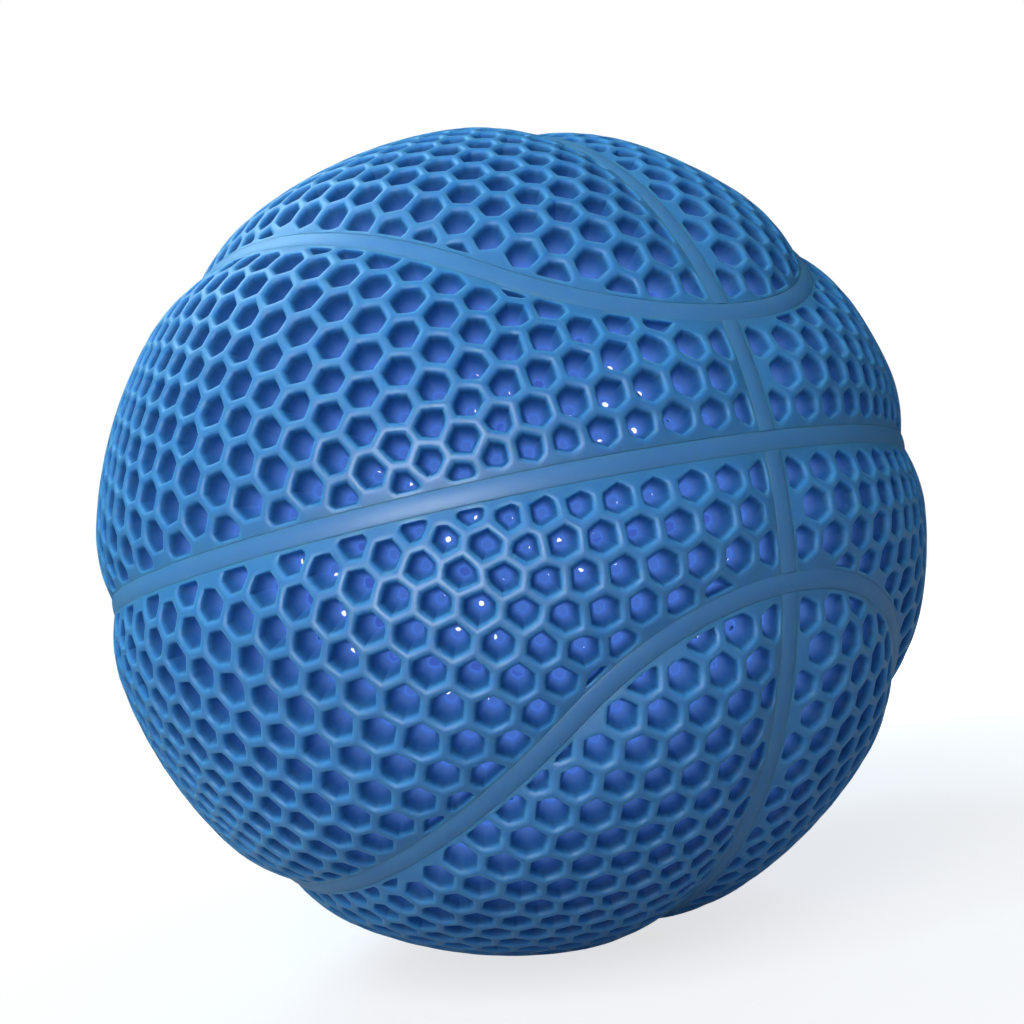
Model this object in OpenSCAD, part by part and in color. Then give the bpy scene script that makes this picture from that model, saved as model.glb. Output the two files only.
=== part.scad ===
// Airless basketball: a hollow ball in eight pillowed honeycomb panels, parted by smooth seam strips.
// The ball centre is the origin, +Z is up, and the equator seam lies in the XY plane.
// The meridian seam lies in the YZ plane, and the crossing of the two faces the front, which is -Y.

/* [Ball] */
// Radius of the ball at the crowns of the panels
ball_r = 120; // [100:1:130]
// Thickness of the wall under the crowns
wall_t = 7; // [5.5:0.5:10]

/* [Honeycomb] */
// Cells along one edge of the icosahedron that sets out the honeycomb
cells_per_edge = 12; // [8:2:12]
// Width of the struts between two cells, at the crowns
strut_w = 2.5; // [1.6:0.1:3.2]
// Smallest opening that is cut where a seam crosses a cell, in square millimetres
min_opening = 3; // [2:0.5:8]

/* [Seams] */
// Width of the seam strips
strip_w = 4.6; // [3:0.2:7]
// Solid rim of each panel beside a strip
rim_w = 1; // [0.6:0.1:2]
// Depth of the seams below the crowns
valley_depth = 3; // [1:0.25:4]
// Distance over which a panel falls from its crown to a seam
valley_reach = 20; // [14:1:24]
// Latitude of the curved seams where they cross the meridian seam, in degrees
oval_front_lat = 15.5; // [13:0.5:20]
// Latitude of the curved seams at the left and right, in degrees
oval_side_lat = 45; // [40:0.5:50]

/* [Hidden] */
inner_r = ball_r - wall_t;
seam_r = ball_r - valley_depth;
half_strip = strip_w / 2;
seam_half = half_strip + rim_w;
far = 2.5 * ball_r;
cut_margin = 2;
side_turn = [0, 0, 180];
end_turn = [0, 90, 0];
mm_per_degree = seam_r * PI / 180;

// The curved seam is a great-circle arc at each side and a small-circle arc round each end.
front_colat = 90 - oval_front_lat;
side_sin = cos(oval_side_lat);
end_arc = atan2(side_sin * cos(front_colat), 1 - side_sin * sin(front_colat));
end_tilt = front_colat - end_arc;
side_pole = [-sin(oval_side_lat), 0, side_sin];
end_pole = [0, -sin(end_tilt), cos(end_tilt)];
joint_dir = unit(end_pole - (end_pole * side_pole) * side_pole);
end_half_turn = atan2(joint_dir.x, -joint_dir.y * cos(end_tilt) - joint_dir.z * sin(end_tilt));
side_half_turn = atan2(-joint_dir.y, joint_dir * [side_sin, 0, sin(oval_side_lat)]);
joint_normal = cross(side_pole, end_pole);
// Turn about the X axis, up from the front, of the plane through both places where the arcs meet.
joint_turn = atan2(joint_dir.z, -joint_dir.y);
end_steps = 10;
side_steps = 4;

// Corners of the icosahedron in the front, right, upper eighth of the ball.
golden = (1 + sqrt(5)) / 2;
ico_front = unit([1, -golden, 0]);
ico_top = unit([0, -1, golden]);
ico_right = unit([golden, 0, 1]);
grid_steps = [[1, -1, 0], [1, 0, -1], [0, 1, -1], [-1, 1, 0], [-1, 0, 1], [0, -1, 1]];
// A direction outside that eighth of the ball, from which each cell takes its own axes.
skew = [1, 2, 3];
on_plane = 0.0001;

function unit(v) = v / norm(v);
function reflected(p, normal) = let (n = unit(normal)) p - 2 * (p * n) * n;
function flipped(v, axis) = [for (i = [0:2]) i == axis ? -v[i] : v[i]];
function total(list) = list * [for (x = list) 1];

// Direction of a grid point of an icosahedron face, folded over the face edges where it lies outside.
function grid_dir(face, c) =
    c[0] < 0 ? reflected(grid_dir(face, [-c[0], c[1] + c[0], c[2] + c[0]]), cross(face[1], face[2])) :
    c[1] < 0 ? reflected(grid_dir(face, [c[0] + c[1], -c[1], c[2] + c[1]]), cross(face[2], face[0])) :
    c[2] < 0 ? reflected(grid_dir(face, [c[0] + c[2], c[1] + c[2], -c[2]]), cross(face[0], face[1])) :
    unit(c[0] * face[0] + c[1] * face[1] + c[2] * face[2]);

// Each cell is its own direction and those of the cells round it.
function cell(face, c) = [grid_dir(face, c), [for (s = grid_steps) grid_dir(face, c + s)]];

function whole_face(face) = [
    for (i = [0:cells_per_edge], j = [0:cells_per_edge - i])
        cell(face, [i, j, cells_per_edge - i - j])
];

// The half of a face on the near side of the symmetry plane through its middle corner.
function half_face(face) = [
    for (k = [1:cells_per_edge / 2], i = [k:cells_per_edge - k])
        cell(face, [i, cells_per_edge - i - k, k])
];

function eighth_cells() = concat(
    whole_face([ico_front, ico_top, ico_right]),
    half_face([ico_front, ico_top, flipped(ico_front, 0)]),
    half_face([ico_top, ico_right, flipped(ico_top, 1)]),
    half_face([ico_right, ico_front, flipped(ico_right, 2)])
);

// Distance and direction to a seam: [distance in millimetres, vector towards the seam].
function to_equator(p) = [asin(p.z) * mm_per_degree, [0, 0, -1]];
function to_meridian(p) = [asin(p.x) * mm_per_degree, [-1, 0, 0]];
function near_end(p) = (p * joint_normal) * (joint_normal * [0, -1, 0]) > 0;
function to_oval_from_outside(p) = near_end(p)
    ? [(acos(p * end_pole) - end_arc) * mm_per_degree, end_pole]
    : [-asin(p * side_pole) * mm_per_degree, side_pole];
function to_oval_from_inside(p) = let (o = to_oval_from_outside(p)) [-o[0], -o[1]];

function side_panel_seams(p) = [to_equator(p), to_meridian(p), to_oval_from_outside(p)];
function end_panel_seams(p) = [to_meridian(p), to_oval_from_inside(p)];

// The part of a convex outline on the near side of the line n * p = d.
function trimmed(outline, n, d) = [
    for (i = [0:len(outline) - 1])
        let (a = outline[i], b = outline[(i + 1) % len(outline)], fa = n * a - d, fb = n * b - d)
            each concat(fa <= 0 ? [a] : [], fa * fb < 0 ? [a + (b - a) * fa / (fa - fb)] : [])
];
function trimmed_by(outline, lines, i = 0) =
    i == len(lines) || len(outline) < 3 ? outline
    : trimmed_by(trimmed(outline, lines[i][0], lines[i][1]), lines, i + 1);
function outline_area(o) = len(o) < 3 ? 0
    : abs(total([for (i = [0:len(o) - 1]) cross(o[i], o[(i + 1) % len(o)])])) / 2;

// An opening is [direction, two cross axes, outline]: a cell less half a strut all round, cut off at the rims.
function opening(c, seams) =
    let (
        across = unit(cross(skew, c[0])),
        along = cross(c[0], across),
        reach = 2 * ball_r / cells_per_edge,
        square_round = [[-reach, -reach], [reach, -reach], [reach, reach], [-reach, reach]],
        walls = [for (q = c[1]) [
            unit([q * across, q * along]),
            ball_r * acos(c[0] * q) * PI / 360 - strut_w / 2
        ]],
        rims = [for (s = seams) if (s[0] < reach) [unit([s[1] * across, s[1] * along]), s[0] - seam_half]]
    )
    [c[0], across, along, trimmed_by(square_round, concat(walls, rims))];

function near_seams(seams) = min([for (s = seams) s[0]]) > -seam_half;
function side_panel_openings() = [
    for (c = eighth_cells()) let (s = side_panel_seams(c[0])) if (near_seams(s))
        let (o = opening(c, s)) if (outline_area(o[3]) > min_opening) o
];
function end_panel_openings() = [
    for (c = eighth_cells()) let (s = end_panel_seams(c[0])) if (near_seams(s))
        let (o = opening(c, s)) if (outline_area(o[3]) > min_opening) o
];

module cut_openings(list) {
    for (o = list)
        multmatrix([for (i = [0:2]) [o[1][i], o[2][i], o[0][i], o[0][i] * (inner_r - cut_margin)]])
            linear_extrude(height = wall_t + 2 * cut_margin) polygon(o[3]);
}

module both_halves_openings(list) {
    cut_openings(list);
    mirror([0, 1, 0]) cut_openings([for (o = list) if (o[0].y < -on_plane) o]);
}

// A panel falls towards a seam along a sphere whose centre lies on the axis of that seam.
// The sphere meets the seam radius at the strip edge and the ball radius at the end of the reach.
// The axis offset is negative on the outer side of the seam circle.
strip_angle = asin(half_strip / seam_r);
reach_angle = valley_reach / ball_r * 180 / PI;
function flank_offset(circle, side) =
    (ball_r * ball_r - seam_r * seam_r)
    / (2 * (ball_r * cos(circle + side * reach_angle) - seam_r * cos(circle + side * strip_angle)));
function flank_r(circle, side) =
    let (t = flank_offset(circle, side))
    sqrt(seam_r * seam_r - 2 * seam_r * t * cos(circle + side * strip_angle) + t * t);

module flank_ball(circle, side) {
    translate([0, 0, flank_offset(circle, side)])
        rotate([0, 0, 180]) sphere(r = flank_r(circle, side), $fn = 120);
}

module end_flank(side) {
    rotate([end_tilt, 0, 0]) flank_ball(end_arc, side);
}

module side_flank(side) {
    rotate([0, -oval_side_lat, 0]) flank_ball(90, side);
}

// Inside a curved seam, the end flank holds only in front of the plane where its arcs meet.
module end_fall() {
    difference() {
        rotate([-joint_turn, 0, 0]) translate([-far, -far, -2 * far]) cube(2 * far);
        end_flank(-1);
    }
}

// Outside it, the side flank holds only over the side arc, between the front plane and the back one.
module side_fall() {
    difference() {
        rotate([90, 0, 90]) linear_extrude(height = 2 * far, center = true) polygon([
            [0, 0],
            2 * far * [-cos(joint_turn), sin(joint_turn)],
            2 * far * [cos(joint_turn), sin(joint_turn)]
        ]);
        side_flank(1);
    }
}

// Directions round the curved seam, moved off its middle line by an angle.
function end_dir(turn, off) =
    let (a = end_arc + off, x = sin(a) * sin(turn), y = -sin(a) * cos(turn), z = cos(a))
    [x, y * cos(end_tilt) - z * sin(end_tilt), y * sin(end_tilt) + z * cos(end_tilt)];
function side_dir(turn, off) =
    let (a = 90 + off, x = sin(a) * cos(turn), y = sin(a) * sin(turn), z = cos(a))
    [x * side_sin - z * sin(oval_side_lat), y, x * sin(oval_side_lat) + z * side_sin];
function quarter_dirs(off) = concat(
    [for (i = [0:end_steps]) end_dir(end_half_turn * i / end_steps, off)],
    [for (i = [1:side_steps - 1]) side_dir(-side_half_turn * (1 - i / side_steps), off)]
);
function half_dirs(off) = let (q = quarter_dirs(off))
    concat(q, [side_dir(0, off)], [for (i = [len(q) - 1:-1:0]) flipped(q[i], 1)]);
function oval_dirs(off) = let (h = half_dirs(off))
    concat(h, [for (i = [len(h) - 2:-1:1]) flipped(h[i], 0)]);

// The cone over the curved seam, with its point at the ball centre.
module oval_cone(off) {
    rim = oval_dirs(off);
    count = len(rim);
    polyhedron(
        points = concat([[0, 0, 0]], [for (d = rim) far * d], [[0, 0, far]]),
        faces = concat(
            [for (i = [0:count - 1]) [0, 1 + i, 1 + (i + 1) % count]],
            [for (i = [0:count - 1]) [count + 1, 1 + (i + 1) % count, 1 + i]]
        )
    );
}

// The turn of a panel's spheres keeps their poles clear of the panel.
module pillow(turn) {
    intersection() {
        rotate(turn) sphere(r = ball_r, $fn = 120);
        rotate([0, 90, 0]) flank_ball(90, -1);
        translate([half_strip, -far, half_strip]) cube([far, 2 * far, far]);
    }
}

module hollow(turn) {
    rotate(turn) sphere(r = inner_r, $fn = 120);
}

// A long panel between the equator seam and a curved seam.
module side_panel() {
    difference() {
        intersection() {
            pillow(side_turn);
            flank_ball(90, -1);
            end_flank(1);
            mirror([0, 1, 0]) end_flank(1);
        }
        side_fall();
        oval_cone(strip_angle);
        hollow(side_turn);
    }
}

// Half of the field inside a curved seam.
module end_panel() {
    difference() {
        intersection() {
            pillow(end_turn);
            side_flank(-1);
            oval_cone(-strip_angle);
        }
        end_fall();
        mirror([0, 1, 0]) end_fall();
        hollow(end_turn);
    }
}

module pierced_side_panel() {
    difference() {
        side_panel();
        both_halves_openings(side_panel_openings());
    }
}

module pierced_end_panel() {
    difference() {
        end_panel();
        both_halves_openings(end_panel_openings());
    }
}

// The shell that all strips are cut from.
module strip_shell() {
    difference() {
        sphere(r = seam_r, $fn = 120);
        sphere(r = inner_r, $fn = 120);
    }
}

module meridian_slab(y_sign, z_from) {
    translate([-half_strip, y_sign < 0 ? -far : 0, z_from]) cube([strip_w, far, far]);
}

module oval_strip() {
    intersection() {
        strip_shell();
        difference() {
            oval_cone(strip_angle);
            oval_cone(-strip_angle);
        }
    }
}

module long_meridian_strip() {
    intersection() {
        strip_shell();
        translate([-half_strip, -far, 0]) cube([strip_w, 2 * far, far]);
        oval_cone(-strip_angle);
    }
}

module short_meridian_strip() {
    difference() {
        intersection() {
            strip_shell();
            meridian_slab(-1, half_strip);
        }
        oval_cone(strip_angle);
    }
}

module upper_right_panel() color("steelblue") pierced_side_panel();
module upper_left_panel() color("steelblue") mirror([1, 0, 0]) pierced_side_panel();
module lower_right_panel() color("steelblue") mirror([0, 0, 1]) pierced_side_panel();
module lower_left_panel() color("steelblue") mirror([1, 0, 0]) mirror([0, 0, 1]) pierced_side_panel();
module top_right_panel() color("royalblue") pierced_end_panel();
module top_left_panel() color("royalblue") mirror([1, 0, 0]) pierced_end_panel();
module bottom_right_panel() color("royalblue") mirror([0, 0, 1]) pierced_end_panel();
module bottom_left_panel() color("royalblue") mirror([1, 0, 0]) mirror([0, 0, 1]) pierced_end_panel();

module equator_strip() color("lightsteelblue") {
    intersection() {
        strip_shell();
        translate([-far, -far, -half_strip]) cube([2 * far, 2 * far, strip_w]);
    }
}

module upper_oval_strip() color("lightsteelblue") oval_strip();
module lower_oval_strip() color("lightsteelblue") mirror([0, 0, 1]) oval_strip();
module top_strip() color("lightsteelblue") long_meridian_strip();
module bottom_strip() color("lightsteelblue") mirror([0, 0, 1]) long_meridian_strip();
module front_upper_strip() color("lightsteelblue") short_meridian_strip();
module front_lower_strip() color("lightsteelblue") mirror([0, 0, 1]) short_meridian_strip();
module back_upper_strip() color("lightsteelblue") mirror([0, 1, 0]) short_meridian_strip();
module back_lower_strip() color("lightsteelblue") mirror([0, 1, 0]) mirror([0, 0, 1]) short_meridian_strip();

upper_right_panel();
upper_left_panel();
lower_right_panel();
lower_left_panel();
top_right_panel();
top_left_panel();
bottom_right_panel();
bottom_left_panel();
equator_strip();
upper_oval_strip();
lower_oval_strip();
top_strip();
bottom_strip();
front_upper_strip();
front_lower_strip();
back_upper_strip();
back_lower_strip();
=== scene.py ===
# %% [markdown]
# # An airless basketball in Blender
#
# The ball is a hollow wall of hexagonal cells. Eight pillowed panels of honeycomb meet along smooth
# seam strips. It bounces because the wall bends, so it needs no air. This lesson rebuilds each
# panel and strip as a surface worked out with numpy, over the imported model.

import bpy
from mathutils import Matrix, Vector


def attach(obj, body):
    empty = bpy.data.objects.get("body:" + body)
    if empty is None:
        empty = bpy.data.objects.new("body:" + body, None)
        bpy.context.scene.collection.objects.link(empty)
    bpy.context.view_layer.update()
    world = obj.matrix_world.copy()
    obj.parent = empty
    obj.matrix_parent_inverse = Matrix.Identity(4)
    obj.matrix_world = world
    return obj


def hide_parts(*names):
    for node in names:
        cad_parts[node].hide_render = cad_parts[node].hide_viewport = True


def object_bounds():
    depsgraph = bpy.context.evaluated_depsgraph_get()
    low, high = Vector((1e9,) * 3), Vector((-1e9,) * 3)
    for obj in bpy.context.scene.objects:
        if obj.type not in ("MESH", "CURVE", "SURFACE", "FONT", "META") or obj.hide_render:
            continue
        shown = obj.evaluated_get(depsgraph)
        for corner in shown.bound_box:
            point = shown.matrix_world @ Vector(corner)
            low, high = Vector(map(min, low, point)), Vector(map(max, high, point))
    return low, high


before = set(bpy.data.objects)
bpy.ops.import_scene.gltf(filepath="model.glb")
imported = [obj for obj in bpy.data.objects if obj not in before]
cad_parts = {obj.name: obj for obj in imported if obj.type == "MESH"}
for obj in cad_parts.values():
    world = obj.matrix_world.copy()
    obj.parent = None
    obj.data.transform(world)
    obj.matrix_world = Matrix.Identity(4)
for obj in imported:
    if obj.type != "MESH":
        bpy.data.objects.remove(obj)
cad_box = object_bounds()
print("packed nodes:", len(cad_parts))

# %% [markdown]
# ## Sizes
#
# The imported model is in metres, with the ball centre at the origin. These are the sizes of the real
# ball: a full-size basketball, 240 mm across the crowns of its panels. Angles are kept in radians,
# because numpy's sine and cosine take radians.

# %% Sizes of the ball
import itertools
import math

import bmesh
import bpy
import numpy as np
from mathutils import Matrix

CROWN_R = 0.120
SEAM_R = 0.117
INNER_R = 0.113
VALLEY_REACH = 0.021
STRIP_HALF = 0.0023
RIM_W = 0.0010
STRUT_W = 0.0023
CELLS_PER_EDGE = 16
OVAL_FRONT_LAT = math.radians(15.5)
OVAL_SIDE_LAT = math.radians(45)
print("wall at the crowns:", round((CROWN_R - INNER_R) * 1000, 2), "mm")

# %% [markdown]
# ## The camera
#
# The camera is set first, because every later choice is judged through it. It stands a little below
# the middle of the ball and is rolled by about twelve degrees, so the ball keeps its own upright
# frame. Its matrix comes from three settings that read well: where it stands, what it aims at and
# how far it rolls.

# %% Camera
CAMERA_AT = np.array([-0.1787, -0.2988, -0.0315])
CAMERA_AIM = np.array([0.00105, -0.00161, 0.00744])
CAMERA_ROLL = math.radians(11.92)
CAMERA_LENS = 39.97
SENSOR_WIDTH = 36
CLIP_START = 0.01


def unit(v):
    """Scales vectors, along the last axis, to length one."""
    return v / np.linalg.norm(v, axis=-1, keepdims=True)


def camera_axes(at, aim, roll):
    """Right, up and backward axes of a camera.
    Backward runs from the aim to the camera, and the others turn by the roll."""
    backward = unit(at - aim)
    level_right = unit(np.cross([0, 0, 1.0], backward))
    level_up = np.cross(backward, level_right)
    right = math.cos(roll) * level_right - math.sin(roll) * level_up
    return right, np.cross(backward, right), backward


cam_right, cam_up, cam_back = camera_axes(CAMERA_AT, CAMERA_AIM, CAMERA_ROLL)
camera = bpy.data.objects.new("camera", bpy.data.cameras.new("camera"))
camera.data.lens = CAMERA_LENS
camera.data.sensor_width = SENSOR_WIDTH
camera.data.clip_start = CLIP_START
placed = np.eye(4)
placed[:3] = np.column_stack([cam_right, cam_up, cam_back, CAMERA_AT])
camera.matrix_world = Matrix(placed)
bpy.context.scene.collection.objects.link(camera)
bpy.context.scene.camera = camera
print("camera stands", round(float(np.linalg.norm(CAMERA_AT)), 4), "m from the ball centre")

# %% [markdown]
# ## The seams
#
# Two seams are great circles: one round the equator and one over the top, front to back. Two more
# are ovals, one in each half of the ball. An oval is a great-circle arc at each side and a
# small-circle arc round each end. Everything later asks one question: how far is this direction
# from a seam? So the seams are written as distance functions.

# %% Seam distances
front_colat = math.pi / 2 - OVAL_FRONT_LAT
side_sin = math.cos(OVAL_SIDE_LAT)
END_ARC = math.atan2(side_sin * math.cos(front_colat), 1 - side_sin * math.sin(front_colat))
END_TILT = front_colat - END_ARC
SIDE_POLE = np.array([-math.sin(OVAL_SIDE_LAT), 0, side_sin])
END_POLE = np.array([0, -math.sin(END_TILT), math.cos(END_TILT)])
JOINT_NORMAL = np.cross(SIDE_POLE, END_POLE)


def folded(d):
    """Mirrors directions into the front, right, upper eighth of the ball, which all eighths repeat."""
    return np.abs(d) * [1, -1, 1]


def on_end_arc(p):
    """True where the nearest stretch of the oval is its end arc."""
    return p @ JOINT_NORMAL * -JOINT_NORMAL[1] > 0


def from_equator(d):
    """Signed distance from the equator seam, positive above it: latitude times the seam radius."""
    return np.arcsin(np.clip(d[..., 2], -1, 1)) * SEAM_R


def from_meridian(d):
    """Signed distance from the meridian seam, positive on the right: its angle times the seam radius."""
    return np.arcsin(np.clip(d[..., 0], -1, 1)) * SEAM_R


def from_oval(d):
    """Signed distance from the oval seam, positive outside it.
    It is the angle past the end arc, or below the side arc's plane, times the seam radius."""
    p = folded(d)
    end = np.arccos(np.clip(p @ END_POLE, -1, 1)) - END_ARC
    side = -np.arcsin(np.clip(p @ SIDE_POLE, -1, 1))
    return np.where(on_end_arc(p), end, side) * SEAM_R


print("oval end arc:", round(math.degrees(END_ARC), 2), "degrees")

# %% [markdown]
# ## The pillows
#
# Each panel swells between its seams like a cushion. A parabola gives the fall: level at the crown
# and steepest at the seam. Where two seams come close, their falls are joined as one minus a
# product, so no edge of a fall shows.

# %% Outer surface
def fall(distance):
    """Share of the full fall at a distance from a seam.
    It is (1 - u) squared, with u from 0 at the strip to 1 at the reach."""
    u = np.clip((np.abs(distance) - STRIP_HALF) / (VALLEY_REACH - STRIP_HALF), 0, 1)
    return (1 - u) ** 2


def outer_r(d):
    """Radius of the outer surface in a direction: the crown radius less the joined falls to the seams."""
    level = (1 - fall(from_equator(d))) * (1 - fall(from_meridian(d))) * (1 - fall(from_oval(d)))
    return SEAM_R + (CROWN_R - SEAM_R) * level


print("outer radius at the front crossing:", round(float(outer_r(np.array([0, -1.0, 0]))), 4))

# %% [markdown]
# ## The honeycomb
#
# A ball can't be tiled by hexagons alone. Designers start from an icosahedron, cut each face into
# small triangles and push the points out to the ball. Each point becomes the middle of a cell, and
# the cell's corners are the centres of the triangles round it. Twelve cells, at the corners of the
# icosahedron, have five sides. All the others have six. A soft wall never comes out of its mould
# perfect, so each corner drifts by about a fifth of a millimetre.

# %% Cell outlines
CORNER_DRIFT = 0.0016
STRUT_DRIFT = 0.10
DRIFT_SEED = 5
SAME_DIGITS = 7
SLANTED = [0.31, 0.52, 0.79]
drift = np.random.default_rng(DRIFT_SEED)
golden = (1 + math.sqrt(5)) / 2
signs = np.array(list(itertools.product([-1, 1], [-1, 1])))
flat = np.column_stack([signs[:, 0], signs[:, 1] * golden, np.zeros(4)])
ico = unit(np.vstack([flat, np.roll(flat, 1, axis=1), np.roll(flat, 2, axis=1)]))
ico_side = np.sort(np.linalg.norm(ico[0] - ico, axis=1))[1]


def is_face(corners):
    """True if each two corners are one side of the icosahedron apart, with a tenth to spare."""
    pairs = itertools.combinations(corners, 2)
    return all(np.linalg.norm(ico[a] - ico[b]) < 1.1 * ico_side for a, b in pairs)


faces = np.array([f for f in itertools.combinations(range(len(ico)), 3) if is_face(f)])


def face_grid(n):
    """Barycentric counts (i, j, k) of a triangle cut n times, and its small triangles as index triples."""
    i, j = np.meshgrid(np.arange(n + 1), np.arange(n + 1), indexing="ij")
    keep = i + j <= n
    index = np.full((n + 1, n + 1), -1)
    index[keep] = np.arange(keep.sum())
    i, j = i[keep], j[keep]
    up = i + j < n
    down = i + j < n - 1
    tri_up = np.column_stack([index[i[up], j[up]], index[i[up] + 1, j[up]], index[i[up], j[up] + 1]])
    tri_down = np.column_stack([
        index[i[down] + 1, j[down]], index[i[down] + 1, j[down] + 1], index[i[down], j[down] + 1]])
    return np.column_stack([i, j, n - i - j]), np.vstack([tri_up, tri_down])


counts, small = face_grid(CELLS_PER_EDGE)
points = unit(np.einsum("pc,fcx->fpx", counts, ico[faces]))
stacked = (small[None] + np.arange(len(faces))[:, None, None] * len(counts)).reshape(-1, 3)
points = points.reshape(-1, 3)
_, first, same = np.unique(np.round(points, SAME_DIGITS), axis=0, return_index=True, return_inverse=True)
cell_dirs = points[first]
triangles = same.reshape(-1)[stacked]


def tangent_axes(d):
    """Two axes across each direction, made from one slanted vector that no cell shares."""
    across = unit(np.cross(SLANTED, d))
    return across, np.cross(d, across)


def cell_outlines():
    """Corners of every cell, counter-clockwise from outside.
    They are the centres of the triangles round it, sorted by angle."""
    a, b, c = (cell_dirs[triangles[:, i]] for i in range(3))
    centre = unit(np.cross(b - a, c - a))
    centre *= np.sign(np.sum(centre * a, axis=1))[:, None]
    centre = unit(centre + CORNER_DRIFT * drift.normal(size=centre.shape))
    cell = triangles.reshape(-1)
    corner = np.repeat(centre, 3, axis=0)
    across, along = tangent_axes(cell_dirs[cell])
    angle = np.arctan2(np.sum(corner * along, 1), np.sum(corner * across, 1))
    order = np.lexsort((angle, cell))
    sides = np.bincount(cell)
    start = np.cumsum(sides) - sides
    # A five-sided cell repeats its last corner, so that all outlines have six.
    step = np.minimum(np.arange(6)[None], sides[:, None] - 1)
    return corner[order][start[:, None] + step]


outlines = cell_outlines()
print("cells on the whole ball:", len(outlines))

# %% [markdown]
# ## Cells cut off by a seam
#
# A seam runs straight through the honeycomb, so the cells beside it lose a part. Cutting a polygon
# along a line is usually a loop over its corners. Here all cells are cut in one go: each side
# offers its first corner and its crossing with the line, and a stable sort moves the ones that stay
# to the front.

# %% Cut outlines at the panel edges
def cut_outlines(ring, distance):
    """Keeps the part of each outline where the distance is positive.
    Each outline gets one more corner, repeated if spare."""
    f = distance(ring)
    ahead, f_ahead = np.roll(ring, -1, 1), np.roll(f, -1, 1)
    inside = f > 0
    crosses = inside != (f_ahead > 0)
    share = np.where(crosses, f / np.where(crosses, f - f_ahead, 1), 0)
    crossing = unit(ring + share[..., None] * (ahead - ring))
    offered = np.stack([ring, crossing], 2).reshape(len(ring), -1, 3)
    stays = np.stack([inside, crosses], 2).reshape(len(ring), -1)
    count = stays.sum(1)
    order = np.argsort(~stays, axis=1, kind="stable")
    step = np.clip(np.arange(ring.shape[1] + 1)[None], 0, np.maximum(count - 1, 0)[:, None])
    order = np.take_along_axis(order, step, 1)
    return np.take_along_axis(offered, order[..., None], 1)[count >= 3]


def onto_oval(d, offset, within):
    """Slides directions that lie within a distance of an oval's offset curve exactly onto it."""
    p = folded(d)
    back = np.where(d < 0, -1, 1) * [1, -1, 1]
    pole = np.where(on_end_arc(p)[..., None], END_POLE, SIDE_POLE)
    miss = from_oval(d) - offset
    toward = unit(pole - np.sum(p * pole, -1, keepdims=True) * p)
    moved = unit(p + np.tan(miss / SEAM_R)[..., None] * toward) * back
    return np.where((np.abs(miss) < within)[..., None], moved, d)


SIDE_EDGES = [
    lambda d: from_meridian(d) - STRIP_HALF,
    lambda d: from_equator(d) - STRIP_HALF,
    lambda d: from_oval(d) - STRIP_HALF,
]
END_EDGES = [
    lambda d: from_meridian(d) - STRIP_HALF,
    lambda d: from_equator(d),
    lambda d: -from_oval(d) - STRIP_HALF,
]
SNAP = 0.0002
ON_EDGE = 1e-5


def panel_outlines(edges, oval_offset):
    """Outlines of one panel's cells: all the ball's cells, cut at the panel's edges one after another.
    A sliver, with all its corners on one edge, is dropped; its neighbours reach the edge without it."""
    ring = outlines
    for edge in edges:
        ring = cut_outlines(ring, edge)
    ring = onto_oval(ring, oval_offset, SNAP)
    sliver = np.any([np.all(np.abs(e(ring)) < ON_EDGE, axis=1) for e in edges], axis=0)
    return ring[~sliver]


side_outlines = panel_outlines(SIDE_EDGES, STRIP_HALF)
end_outlines = panel_outlines(END_EDGES, -STRIP_HALF)
print("cells in a side panel:", len(side_outlines), "and in an end panel:", len(end_outlines))

# %% [markdown]
# ## One cell as a grid
#
# A cell is a ring of strut round an opening. Its grid has two directions: round the cell, and from
# the outside of the wall to the inside. The first row is the middle line of the struts, which
# neighbours share. Then come the rounded lip, the wall and the inner middle line. The opening is a
# hexagon with soft corners. A power mean of the distances to its six sides gives that in one
# formula, with no fillets. The wall leans inwards, so the opening is narrower on the inside, as the
# soft light edges of the cells show.

# %% Cell grids
STEPS_PER_SIDE = 2
CORNER_POWER = 16
LIP = 0.0009
TAPER = 0.64
LIP_ROOM = 0.6
LIP_CREST = 0.3
LEAST_GAP = 0.00035
LEAST_REACH = 1e-6
SHORTEST_SIDE = 1e-6
NO_LENGTH = 1e-9


def along_sides(corners):
    """Points along each side of the outlines, evenly spaced from corner to corner."""
    t = (np.arange(STEPS_PER_SIDE) / STEPS_PER_SIDE)[:, None]
    ahead = np.roll(corners, -1, 1)
    ring = corners[:, :, None] * (1 - t) + ahead[:, :, None] * t
    return unit(ring.reshape(len(corners), -1, 3))


def flat_on(middle, across, along, d):
    """Central projection of directions onto the plane that touches the ball at the cell's middle."""
    depth = np.einsum("nsx,nx->ns", d, middle)
    x, y = (np.einsum("nsx,nx->ns", d, axis) for axis in (across, along))
    return np.stack([x, y], -1) / depth[..., None] * CROWN_R


def cell_frames(corners):
    """Middle and tangent axes of each outline; the middle is the mean of its sides, weighted by length."""
    ahead = np.roll(corners, -1, 1)
    weight = np.linalg.norm(ahead - corners, axis=-1, keepdims=True)
    middle = unit(np.sum(weight * (corners + ahead), 1))
    return (middle, *tangent_axes(middle))


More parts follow.
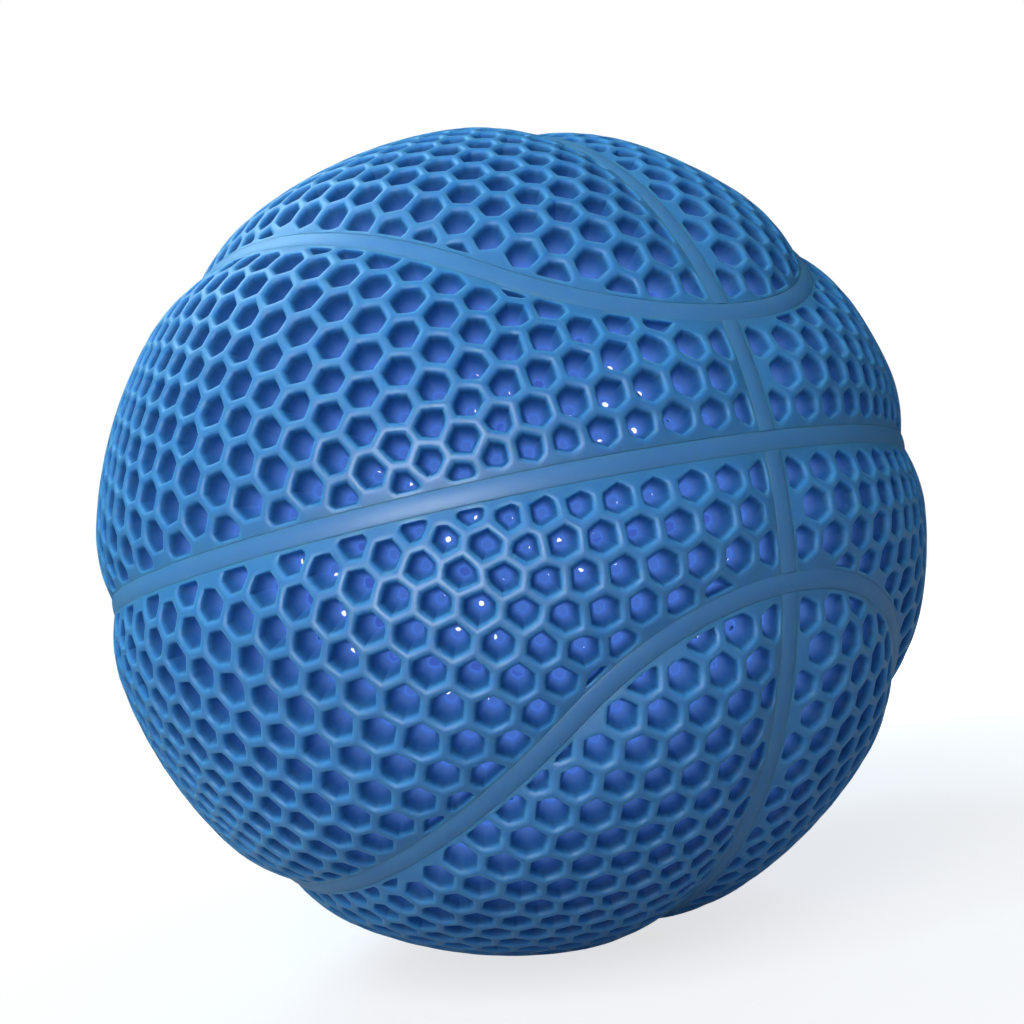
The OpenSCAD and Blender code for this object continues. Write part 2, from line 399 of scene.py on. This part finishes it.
def opening_reach(corner_flat, ring_flat, rim, strut):
    """Distance from the middle to the opening's edge, towards each ring point, and each cell's least gap.
    Each side gives its distance less half a strut, or less the rim, over the cosine to it.
    The power mean of the inverses rounds the corners."""
    ahead = np.roll(corner_flat, -1, 1)
    length = np.linalg.norm(ahead - corner_flat, axis=-1)
    t = (ahead - corner_flat) / np.maximum(length, NO_LENGTH)[..., None]
    normal = np.stack([t[..., 1], -t[..., 0]], -1)
    gap = np.sum(corner_flat * normal, -1) - np.where(rim, RIM_W, strut[:, None] / 2)
    gap = np.where(length > SHORTEST_SIDE, gap, 1.0)
    cosine = np.einsum("nsx,nkx->nsk", unit(ring_flat), normal)
    inverse = np.maximum(cosine, 0) / np.maximum(gap, LEAST_REACH)[:, None]
    return np.sum(inverse ** CORNER_POWER, -1) ** (-1 / CORNER_POWER), gap.min(1)


def grid_faces(shape, start):
    """Quads of grids (cells, rows, points round), closed round the ring, numbered from start."""
    index = start + np.arange(np.prod(shape)).reshape(shape)
    ahead = np.roll(index, -1, 2)
    return np.stack([index[:, :-1], ahead[:, :-1], ahead[:, 1:], index[:, 1:]], -1).reshape(-1, 4)


ROW_DEPTH = np.array([0, 0.004, 0.045, 0.14, 0.95, 1])
# Weights of a painted highlight along the lips: the material lightens these rows by them.
ROW_LIP_HIGHLIGHT = np.array([0, 0.7, 1, 0.8, 0, 0])


def cell_rows(frames, ring_flat, reach):
    """Rows of a cell: middle line, three over the lip, foot of the leaning wall, inner middle line.
    A row's radius is the outer radius less its share of the wall, so rows follow the pillow."""
    toward = unit(ring_flat)
    edge = toward * reach[..., None]
    room = np.linalg.norm(ring_flat, axis=-1) - reach
    lip = toward * np.minimum(LIP, LIP_ROOM * room)[..., None]
    crest = edge + LIP_CREST * lip
    flat_rows = np.stack([ring_flat, edge + lip, crest, edge, edge * (1 - TAPER), ring_flat], 1)
    middle, across, along = (axis[:, None, None] for axis in frames)
    d = unit(middle + (flat_rows[..., :1] * across + flat_rows[..., 1:] * along) / CROWN_R)
    top = outer_r(d)
    radius = top - ROW_DEPTH[None, :, None] * (top - INNER_R)
    return d * radius[..., None]


print("faces round one cell:", 6 * STEPS_PER_SIDE * (len(ROW_DEPTH) - 1))

# %% [markdown]
# ## A whole panel
#
# All cells of a panel are stacked into one array and welded where neighbours share points. A cell
# that a seam leaves too narrow to open is filled. The panel's edge gets a wall, so the mesh is
# closed. Only one side panel and one end panel are worked out: the ball is its own mirror image, so
# the other six are reflections.

# %% Panel meshes
MIDDLE_DIGITS = 6
REPEATED = 1e-7
WELD = 2e-6
SHARP_ANGLE = math.radians(50)


def unshared(rim, middles):
    """Rim sides without those that two cells share.
    Such a side lies inside the panel, however near its edge."""
    rounded = np.round(middles[rim], MIDDLE_DIGITS)
    _, which, count = np.unique(rounded, axis=0, return_inverse=True, return_counts=True)
    alone = rim.copy()
    alone[rim] = count[which.reshape(-1)] == 1
    return alone


def panel_arrays(corners, edges, oval_offset):
    """Points, quads, point values (depth and the painted lip highlight weight) and the number of openings
    of one panel.
    """
    ring = onto_oval(along_sides(corners), oval_offset, SNAP)
    ahead = np.roll(corners, -1, 1)
    on_edge = [np.abs(e(corners)) < ON_EDGE for e in edges]
    rim = np.any([on & np.roll(on, -1, 1) for on in on_edge], axis=0)
    rim &= np.linalg.norm(ahead - corners, axis=-1) > REPEATED
    rim = unshared(rim, corners + ahead)
    frames = cell_frames(corners)
    ring_flat = flat_on(*frames, ring)
    strut = STRUT_W * (1 + STRUT_DRIFT * drift.uniform(-1, 1, len(corners)))
    reach, gap = opening_reach(flat_on(*frames, corners), ring_flat, rim, strut)
    is_open = gap > LEAST_GAP
    cells = cell_rows([f[is_open] for f in frames], ring_flat[is_open], reach[is_open])
    shut = ring[~is_open]
    middle = np.broadcast_to(frames[0][~is_open][:, None], shut.shape)
    cap = np.stack([shut * outer_r(shut)[..., None], middle * outer_r(middle)[..., None]], 1)
    floor = np.stack([middle, shut], 1) * INNER_R
    outside = ring * outer_r(ring)[..., None]
    wall = np.stack([np.roll(outside, -1, 1), outside, ring * INNER_R, np.roll(ring, -1, 1) * INNER_R], 2)
    wall = wall[np.repeat(rim, STEPS_PER_SIDE, 1)]
    grids = [(cells, ROW_DEPTH, ROW_LIP_HIGHLIGHT), (cap, [0, 0], [0, 0]), (floor, [1, 1], [0, 0])]
    points, quads, depth, lip, start = [], [], [], [], 0
    for grid, row_depth, row_lip in grids:
        points.append(grid.reshape(-1, 3))
        quads.append(grid_faces(grid.shape[:3], start))
        depth.append(np.broadcast_to(np.array(row_depth)[None, :, None], grid.shape[:3]).reshape(-1))
        lip.append(np.broadcast_to(np.array(row_lip)[None, :, None], grid.shape[:3]).reshape(-1))
        start += grid.size // 3
    points.append(wall.reshape(-1, 3))
    quads.append(start + np.arange(len(wall) * 4).reshape(-1, 4))
    depth.append(np.tile([0.0, 0, 1, 1], len(wall)))
    lip.append(np.zeros(len(wall) * 4))
    values = {"depth": np.concatenate(depth), "lip": np.concatenate(lip)}
    return np.vstack(points), np.vstack(quads), values, int(is_open.sum())


def new_piece(name, points, polygons, values):
    """A mesh object from arrays.
    Points are welded where they meet, and the values become point attributes."""
    mesh = bpy.data.meshes.new(name)
    mesh.from_pydata(points.tolist(), [], polygons)
    for label, value in values.items():
        mesh.attributes.new(label, "FLOAT", "POINT").data.foreach_set("value", value.astype(np.float32))
    shell = bmesh.new()
    shell.from_mesh(mesh)
    bmesh.ops.remove_doubles(shell, verts=shell.verts, dist=WELD)
    bmesh.ops.dissolve_degenerate(shell, edges=shell.edges, dist=WELD)
    open_edges = sum(not e.is_manifold for e in shell.edges)
    shell.to_mesh(mesh)
    shell.free()
    mesh.shade_smooth()
    mesh.set_sharp_from_angle(angle=SHARP_ANGLE)
    piece = bpy.data.objects.new(name, mesh)
    bpy.context.scene.collection.objects.link(piece)
    print(name, "faces", len(mesh.polygons), "open edges", open_edges)
    return piece


SIDES = {"right": 1, "left": -1}
HEIGHTS = {"side": {"upper": 1, "lower": -1}, "end": {"top": 1, "bottom": -1}}
ARRAYS = {
    "side": panel_arrays(side_outlines, SIDE_EDGES, STRIP_HALF),
    "end": panel_arrays(end_outlines, END_EDGES, -STRIP_HALF),
}
panels = {}
for kind, (points, quads, values, opened) in ARRAYS.items():
    for (height, z), (hand, x) in itertools.product(HEIGHTS[kind].items(), SIDES.items()):
        turned = quads if x * z > 0 else quads[:, ::-1]
        name = f"{height}_{hand}"
        mirrored_points = points * [x, 1, z]
        panels[name + "_panel"] = new_piece(name + "_honeycomb", mirrored_points, turned.tolist(), values)
    print(kind, "panel openings:", opened)

# %% [markdown]
# ## The seam strips
#
# A strip is one profile carried along a seam. The profile is a low crown with rounded edges, closed
# underneath by the inside of the wall. The equator and the two ovals are closed rings. The meridian
# is broken where the rings cross it, so it comes as six shorter pieces. Their ends follow the edge
# of the ring that they meet, which needs one arc cosine for each line along the strip.

# %% Strip profile
EDGE_ROUND = 0.00018
CROWN_RISE = 0.0002
EDGE_GAP = 0.00002
EDGE_POINTS, CROWN_POINTS, INSIDE_POINTS = 4, 7, 5


def strip_profile():
    """Offsets across a strip and their radii: along the inside, then back over the crown.
    The edges are quarter circles, and the crown is a parabola."""
    half = STRIP_HALF - EDGE_GAP
    turn = np.linspace(0, math.pi / 2, EDGE_POINTS)
    edge_x = half - EDGE_ROUND * (1 - np.cos(turn))
    edge_r = SEAM_R - EDGE_ROUND * (1 - np.sin(turn))
    top_x = np.linspace(1, -1, CROWN_POINTS)[1:-1] * (half - EDGE_ROUND)
    top_r = SEAM_R + CROWN_RISE * (1 - (top_x / half) ** 2)
    low_x = np.linspace(-half, half, INSIDE_POINTS)
    x = np.concatenate([edge_x, top_x, -edge_x[::-1], low_x])
    r = np.concatenate([edge_r, top_r, edge_r[::-1], np.full(INSIDE_POINTS, INNER_R)])
    return x[::-1], r[::-1]


def strip_piece(name, directions, closed):
    """A strip from directions (path, profile).
    Radii are laid on, quads join the rows, and open ends get caps."""
    _, radius = strip_profile()
    points = directions * radius[:, None]
    rows, around = points.shape[:2]
    index = np.arange(rows * around).reshape(rows, around)
    nxt, side_on = np.roll(index, -1, 0), np.roll(index, -1, 1)
    quads = np.stack([index, side_on, np.roll(side_on, -1, 0), nxt], -1)
    quads = (quads if closed else quads[:-1]).reshape(-1, 4).tolist()
    if not closed:
        quads += [index[0, ::-1].tolist(), index[-1].tolist()]
    depth = np.tile((SEAM_R - radius) / (SEAM_R - INNER_R), rows).clip(0, 1)
    return new_piece(name, points.reshape(-1, 3), quads, {"depth": depth, "lip": np.zeros(rows * around)})


offset_angle = strip_profile()[0] / SEAM_R
print("points round a strip:", len(offset_angle))

# %% Ring strips
RING_STEPS = 240
END_STEPS = 44
SIDE_STEPS = 20


def equator_ring():
    """Directions (path, profile): longitude along the path, latitude across the strip."""
    turn = np.linspace(0, 2 * math.pi, RING_STEPS, endpoint=False)[:, None]
    flat_r = np.cos(offset_angle)
    x, y = np.cos(turn) * flat_r, np.sin(turn) * flat_r
    return np.stack(np.broadcast_arrays(x, y, np.sin(offset_angle)), -1)


def oval_quarter():
    """A quarter of an oval, front to right.
    The end arc is a circle round its pole, and the side arc one round the side pole."""
    tilt_cos, tilt_sin = math.cos(END_TILT), math.sin(END_TILT)
    lat_sin = math.sin(OVAL_SIDE_LAT)
    meet = unit(END_POLE - (END_POLE @ SIDE_POLE) * SIDE_POLE)
    end_turn = math.atan2(meet[0], -meet[1] * tilt_cos - meet[2] * tilt_sin)
    side_turn = math.atan2(-meet[1], meet @ [side_sin, 0, lat_sin])
    a = END_ARC + offset_angle
    t = np.linspace(0, end_turn, END_STEPS)[:, None]
    x, y, z = np.sin(a) * np.sin(t), -np.sin(a) * np.cos(t), np.cos(a) + 0 * t
    end = np.stack([x, y * tilt_cos - z * tilt_sin, y * tilt_sin + z * tilt_cos], -1)
    a = math.pi / 2 + offset_angle
    t = np.linspace(-side_turn, 0, SIDE_STEPS)[1:, None]
    x, y, z = np.sin(a) * np.cos(t), np.sin(a) * np.sin(t), np.cos(a) + 0 * t
    side = np.stack([x * side_sin - z * lat_sin, y, x * lat_sin + z * side_sin], -1)
    return np.concatenate([end, side])


def oval_ring():
    """The whole oval: the quarter, its mirror image to the back, and both mirrored to the left."""
    quarter = oval_quarter()
    half = np.concatenate([quarter, quarter[-2::-1] * [1, -1, 1]])
    return np.concatenate([half, half[-2:0:-1] * [-1, 1, 1]])


strips = {
    "equator_strip": strip_piece("equator_band", equator_ring()[::-1], True),
    "upper_oval_strip": strip_piece("upper_oval_band", oval_ring(), True),
    "lower_oval_strip": strip_piece("lower_oval_band", oval_ring()[::-1] * [1, 1, -1], True),
}

# %% Meridian strips
MERIDIAN_STEPS = 90
SHORT_STEPS = 16


def end_height(past):
    """Angle up from the front at which the meridian meets an oval's edge, for each line along the strip."""
    inside = np.cos(END_ARC + past) / np.cos(offset_angle)
    return math.pi / 2 - END_TILT - np.arccos(inside)


def meridian_piece(start, stop, steps):
    """Directions (path, profile): angle up from the front along the path, offset to the side across it."""
    t = np.linspace(0, 1, steps)[:, None]
    up = start + (stop - start) * t
    flat_r = np.cos(offset_angle)
    return np.stack([np.sin(offset_angle) + 0 * up, -flat_r * np.cos(up), flat_r * np.sin(up)], -1)


strip_edge = STRIP_HALF / SEAM_R
inner_end, outer_end = end_height(-strip_edge), end_height(strip_edge)
equator_end = np.arcsin(math.sin(strip_edge) / np.cos(offset_angle))
long_piece = meridian_piece(inner_end, math.pi - inner_end, MERIDIAN_STEPS)
short_piece = meridian_piece(equator_end, outer_end, SHORT_STEPS)


def mirrored(directions, y, z):
    """A reflected strip; one reflection also turns the path round, so that faces stay outward."""
    out = directions * [1, y, z]
    return out if y * z > 0 else out[::-1]


strips["top_strip"] = strip_piece("top_band", mirrored(long_piece, 1, 1), False)
strips["bottom_strip"] = strip_piece("bottom_band", mirrored(long_piece, 1, -1), False)
PLACES = {"front": 1, "back": -1}
for (place, y), (height, z) in itertools.product(PLACES.items(), HEIGHTS["side"].items()):
    name = f"{place}_{height}"
    strips[name + "_strip"] = strip_piece(name + "_band", mirrored(short_piece, y, z), False)
print("strips:", len(strips))

# %% [markdown]
# ## The moulded finish
#
# The wall is one blue elastomer that light enters, so the shader scatters light under the surface.
# Strut tops are pale. The walls of a cell turn deep blue, partly their own deeper blue and partly
# painted shade, and a faint painted glow further in stands for light that comes through the wall from
# behind. The lips get a lighter colour, a painted highlight. A shader can't know how deep a point lies,
# so each mesh carries its depth and a lip highlight weight as attributes, and colours follow them. A
# group called moulded_tone adds what panels and strips share: slow mottling and a fine grain.

# %% Shared tone group
MOTTLE_SCALE, MOTTLE_DETAIL = 38, 3
GRAIN_SCALE, GRAIN_DETAIL = 900, 2


def node_in(tree, kind, **settings):
    """Adds a node and sets its properties."""
    made = tree.nodes.new(kind)
    for name, value in settings.items():
        setattr(made, name, value)
    return made


def moulded_tone():
    """Node group: a colour times one plus twice the mottle times (a slow noise less a half).
    A finer noise comes out as a height for bump. Both noises use Object coordinates."""
    group = bpy.data.node_groups.new("moulded_tone", "ShaderNodeTree")
    socket = group.interface.new_socket
    socket("Color", in_out="INPUT", socket_type="NodeSocketColor")
    socket("Mottle", in_out="INPUT", socket_type="NodeSocketFloat")
    socket("Color", in_out="OUTPUT", socket_type="NodeSocketColor")
    socket("Height", in_out="OUTPUT", socket_type="NodeSocketFloat")
    inputs, outputs = group.nodes.new("NodeGroupInput"), group.nodes.new("NodeGroupOutput")
    place = group.nodes.new("ShaderNodeTexCoord")
    slow = node_in(group, "ShaderNodeTexNoise")
    slow.inputs["Scale"].default_value = MOTTLE_SCALE
    slow.inputs["Detail"].default_value = MOTTLE_DETAIL
    fine = node_in(group, "ShaderNodeTexNoise")
    fine.inputs["Scale"].default_value = GRAIN_SCALE
    fine.inputs["Detail"].default_value = GRAIN_DETAIL
    shift = node_in(group, "ShaderNodeMath", operation="SUBTRACT")
    shift.inputs[1].default_value = 0.5
    scaled = node_in(group, "ShaderNodeMath", operation="MULTIPLY_ADD")
    scaled.inputs[2].default_value = 1.0
    twice = node_in(group, "ShaderNodeMath", operation="MULTIPLY")
    twice.inputs[1].default_value = 2.0
    lit = node_in(group, "ShaderNodeVectorMath", operation="SCALE")
    link = group.links.new
    link(place.outputs["Object"], slow.inputs["Vector"])
    link(place.outputs["Object"], fine.inputs["Vector"])
    link(slow.outputs["Fac"], shift.inputs[0])
    link(inputs.outputs["Mottle"], twice.inputs[0])
    link(shift.outputs[0], scaled.inputs[0])
    link(twice.outputs[0], scaled.inputs[1])
    link(inputs.outputs["Color"], lit.inputs[0])
    link(scaled.outputs[0], lit.inputs["Scale"])
    link(lit.outputs[0], outputs.inputs["Color"])
    link(fine.outputs["Fac"], outputs.inputs["Height"])
    return group


tone = moulded_tone()
print("shared group:", tone.name)

# %% Panel and strip materials
SPECULAR = 0.05
COAT_ROUGHNESS = 0.45
COAT_ENDS = 0.12
SCATTER_SHARE = (0.25, 0.6, 1.0)
SCATTER_DEPTH = 0.0025
# How much of the painted lip highlight colour is mixed into the lips.
LIP_HIGHLIGHT_SHARE = 0.4
GRAIN_HEIGHT = 0.0002
NO_GLOW = (0, 0, 0)


def color_ramp(tree, stops):
    """A colour ramp node from (place, colour) pairs."""
    ramp = node_in(tree, "ShaderNodeValToRGB")
    points = ramp.color_ramp.elements
    while len(points) < len(stops):
        points.new(0.5)
    for point, (at, color) in zip(points, stops):
        point.position, point.color = at, (*color, 1)
    return ramp


def moulded(name, tints_and_painted_shade, painted_glows, gloss, lip_highlight_color, coat, mottle, grain):
    """A material whose colour, painted glow and roughness follow depth. Walls are darker partly as painted
    shade, and a painted lip highlight is mixed in under the shared tone. Its coat fades out over the lips,
    and light scatters under the surface."""
    mat = bpy.data.materials.new(name)
    mat.use_nodes = True
    tree = mat.node_tree
    shader = tree.nodes["Principled BSDF"]
    link = tree.links.new
    depth = node_in(tree, "ShaderNodeAttribute", attribute_name="depth")
    lips = node_in(tree, "ShaderNodeAttribute", attribute_name="lip")
    tint_and_painted_shade, glow, rough = (color_ramp(tree, stops) for stops in (tints_and_painted_shade, painted_glows, gloss))
    mix = node_in(tree, "ShaderNodeMix", data_type="RGBA")
    # The lip colour is a painted highlight on the strut edges.
    mix.inputs["B"].default_value = (*lip_highlight_color, 1)
    share = node_in(tree, "ShaderNodeMath", operation="MULTIPLY")
    share.inputs[1].default_value = LIP_HIGHLIGHT_SHARE
    group = node_in(tree, "ShaderNodeGroup", node_tree=tone)
    group.inputs["Mottle"].default_value = mottle
    skin = node_in(tree, "ShaderNodeMapRange")
    skin.inputs["From Max"].default_value = COAT_ENDS
    skin.inputs["To Min"].default_value, skin.inputs["To Max"].default_value = coat, 0
    bump = node_in(tree, "ShaderNodeBump")
    bump.inputs["Strength"].default_value = grain
    bump.inputs["Distance"].default_value = GRAIN_HEIGHT
    link(depth.outputs["Fac"], tint_and_painted_shade.inputs["Fac"])
    link(depth.outputs["Fac"], glow.inputs["Fac"])
    link(depth.outputs["Fac"], rough.inputs["Fac"])
    link(lips.outputs["Fac"], share.inputs[0])
    link(share.outputs[0], mix.inputs["Factor"])
    link(tint_and_painted_shade.outputs["Color"], mix.inputs["A"])
    link(mix.outputs["Result"], group.inputs["Color"])
    link(group.outputs["Color"], shader.inputs["Base Color"])
    # Painted glow: emission that stands for light coming through the wall from behind.
    link(glow.outputs["Color"], shader.inputs["Emission Color"])
    link(rough.outputs["Color"], shader.inputs["Roughness"])
    link(depth.outputs["Fac"], skin.inputs["Value"])
    link(skin.outputs["Result"], shader.inputs["Coat Weight"])
    link(group.outputs["Height"], bump.inputs["Height"])
    link(bump.outputs["Normal"], shader.inputs["Normal"])
    shader.inputs["Emission Strength"].default_value = 1.0
    shader.inputs["Specular IOR Level"].default_value = SPECULAR
    shader.inputs["Coat Roughness"].default_value = COAT_ROUGHNESS
    shader.inputs["Subsurface Weight"].default_value = 1.0
    shader.inputs["Subsurface Radius"].default_value = SCATTER_SHARE
    shader.inputs["Subsurface Scale"].default_value = SCATTER_DEPTH
    return mat


def grey(value):
    """A grey colour, for a ramp that carries a number."""
    return (value, value, value)


panel_finish = moulded(
    "blue_honeycomb",
    # Walls darker than the tops: partly a deeper blue, partly painted shade inside the cells.
    tints_and_painted_shade=[
        (0, (0.06, 0.285, 0.65)), (0.06, (0.045, 0.25, 0.62)), (0.25, (0.003, 0.042, 0.20)),
        (0.6, (0.004, 0.045, 0.21)), (1, (0.03, 0.11, 0.36))],
    # Painted glow: emission that stands for light coming through the wall from behind.
    painted_glows=[
        (0, NO_GLOW), (0.25, (0, 0.003, 0.02)), (0.45, (0.006, 0.026, 0.11)),
        (0.7, (0.036, 0.092, 0.27)), (1, (0.058, 0.142, 0.39))],
    gloss=[(0, grey(0.48)), (0.12, grey(0.6))],
    # The lighter lip colour is a painted highlight.
    lip_highlight_color=(0.10, 0.40, 0.74), coat=1.0, mottle=0.10, grain=0.25)
strip_finish = moulded(
    "blue_seam",
    # Darker down the sides and underneath: partly painted shade.
    tints_and_painted_shade=[(0, (0.085, 0.30, 0.66)), (0.3, (0.05, 0.22, 0.5)), (1, (0.045, 0.12, 0.34))],
    # Painted glow inside the strip.
    painted_glows=[(0, NO_GLOW), (0.3, (0, 0.004, 0.02)), (1, (0.045, 0.095, 0.32))],
    gloss=[(0, grey(0.5)), (1, grey(0.6))],
    lip_highlight_color=(0.08, 0.28, 0.55), coat=0.8, mottle=0.08, grain=0.2)
for group, finish, slot in ((panels, panel_finish, "panel"), (strips, strip_finish, "seam")):
    for node, piece in group.items():
        piece.data.materials.append(finish)
        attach(piece, "root")
        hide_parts(node)
print("finished pieces:", len(panels) + len(strips))

# %% [markdown]
# ## Floor and light
#
# The ball rests on a plain pale floor. The floor brightens with distance until it is as white as
# the backdrop, so no horizon shows. Light on the colours and light in the gloss are set apart. The
# front softbox gives no gloss, and the sheen, close to the camera's line, gives only gloss, which
# turns the struts in the middle milky. Two cool lights on the left draw the lips there. A wide one
# behind the ball, on the right, keeps the shaded side and the back from going black. A little
# ambient light reaches surfaces by diffuse rays only.

# %% Floor
FLOOR_Z = cad_box[0][2]
FLOOR_R = 8.0
FLOOR_RINGS, FLOOR_POINTS = 16, 64
PAPER_GREY, PAPER_ROUGHNESS = 0.35, 0.9
WHITE_FROM, WHITE_AT = 0.15, 0.9
NEAR_LIFT, FAR_LIFT = 0.72, 1.2


def floor_disc(radius, rings, around):
    """A flat disc of rings with points round each; ring radii grow with the square of their number."""
    r = radius * np.linspace(0, 1, rings)[1:, None] ** 2
    t = np.linspace(0, 2 * math.pi, around, endpoint=False)
    points = np.stack([r * np.cos(t), r * np.sin(t), np.full((rings - 1, around), FLOOR_Z)], -1)
    index = np.arange((rings - 1) * around).reshape(1, rings - 1, around)
    middle = index.size
    quads = grid_faces(index.shape, 0)[:, ::-1].tolist()
    fan = np.stack([np.full(around, middle), index[0, 0], np.roll(index[0, 0], -1)], -1).tolist()
    mesh = bpy.data.meshes.new("floor")
    mesh.from_pydata(points.reshape(-1, 3).tolist() + [[0, 0, FLOOR_Z]], [], quads + fan)
    return bpy.data.objects.new("floor", mesh)


def pale_paper():
    """Grey paper, lifted towards white for the camera only, more and more with distance from the ball."""
    mat = bpy.data.materials.new("pale_floor")
    mat.use_nodes = True
    tree = mat.node_tree
    shader = tree.nodes["Principled BSDF"]
    shader.inputs["Base Color"].default_value = (*grey(PAPER_GREY), 1)
    shader.inputs["Roughness"].default_value = PAPER_ROUGHNESS
    shader.inputs["Emission Strength"].default_value = 1.0
    place = node_in(tree, "ShaderNodeTexCoord")
    away = node_in(tree, "ShaderNodeVectorMath", operation="LENGTH")
    lift = node_in(tree, "ShaderNodeMapRange", interpolation_type="SMOOTHSTEP")
    lift.inputs["From Min"].default_value, lift.inputs["From Max"].default_value = WHITE_FROM, WHITE_AT
    lift.inputs["To Min"].default_value, lift.inputs["To Max"].default_value = NEAR_LIFT, FAR_LIFT
    seen = node_in(tree, "ShaderNodeLightPath")
    shown = node_in(tree, "ShaderNodeMath", operation="MULTIPLY")
    tree.links.new(place.outputs["Object"], away.inputs[0])
    tree.links.new(away.outputs["Value"], lift.inputs["Value"])
    tree.links.new(lift.outputs["Result"], shown.inputs[0])
    tree.links.new(seen.outputs["Is Camera Ray"], shown.inputs[1])
    tree.links.new(shown.outputs[0], shader.inputs["Emission Color"])
    return mat


floor = floor_disc(FLOOR_R, FLOOR_RINGS, FLOOR_POINTS)
bpy.context.scene.collection.objects.link(floor)
floor.data.materials.append(pale_paper())
print("floor at", round(float(FLOOR_Z), 4), "m")

# %% Lights and backdrop
def softbox(name, right, up, back, distance, size, radiance, color=(1, 1, 1)):
    """A round area light placed by camera axes and aimed at the ball.
    Its power is pi times its area times its radiance."""
    lamp = bpy.data.lights.new(name, "AREA")
    lamp.shape, lamp.size, lamp.color = "DISK", size, color
    lamp.energy = math.pi * radiance * math.pi * (size / 2) ** 2
    holder = bpy.data.objects.new(name, lamp)
    away = unit(right * cam_right + up * cam_up + back * cam_back)
    x, y, z = camera_axes(away * distance, np.zeros(3), 0)
    place = np.eye(4)
    place[:3] = np.column_stack([x, y, z, away * distance])
    holder.matrix_world = Matrix(place)
    holder.visible_camera = False
    bpy.context.scene.collection.objects.link(holder)
    return holder


front = softbox("front", right=-0.55, up=0.7, back=1.0, distance=1.1, size=0.75, radiance=5.2)
front.visible_glossy = False
sheen = softbox(
    "sheen", right=-0.30, up=-0.08, back=1.0, distance=0.9, size=0.5, radiance=28.0,
    color=(0.9, 0.97, 1.0))
sheen.visible_diffuse = False
softbox(
    "upper_left", right=-0.62, up=0.70, back=-0.35, distance=1.1, size=0.6, radiance=5,
    color=(0.55, 0.85, 1.0))
softbox(
    "window", right=-0.75, up=0.75, back=0.5, distance=1.2, size=0.2, radiance=24,
    color=(0.7, 0.9, 1.0))
fill = softbox(
    "fill", right=0.5, up=0.35, back=-0.9, distance=1.2, size=1.0, radiance=3.0,
    color=(0.6, 0.8, 1.0))
fill.visible_glossy = False
AMBIENT = 0.09
world = bpy.data.worlds.new("studio")
world.use_nodes = True
bpy.context.scene.world = world
bpy.context.scene.view_settings.view_transform = "Standard"
sky = world.node_tree
backdrop = sky.nodes["Background"]
seen = node_in(sky, "ShaderNodeLightPath")
strength = node_in(sky, "ShaderNodeMath", operation="MULTIPLY_ADD")
strength.inputs[1].default_value = AMBIENT
backdrop.inputs["Color"].default_value = (1, 1, 1, 1)
sky.links.new(seen.outputs["Is Diffuse Ray"], strength.inputs[0])
sky.links.new(seen.outputs["Is Camera Ray"], strength.inputs[2])
sky.links.new(strength.outputs[0], backdrop.inputs["Strength"])
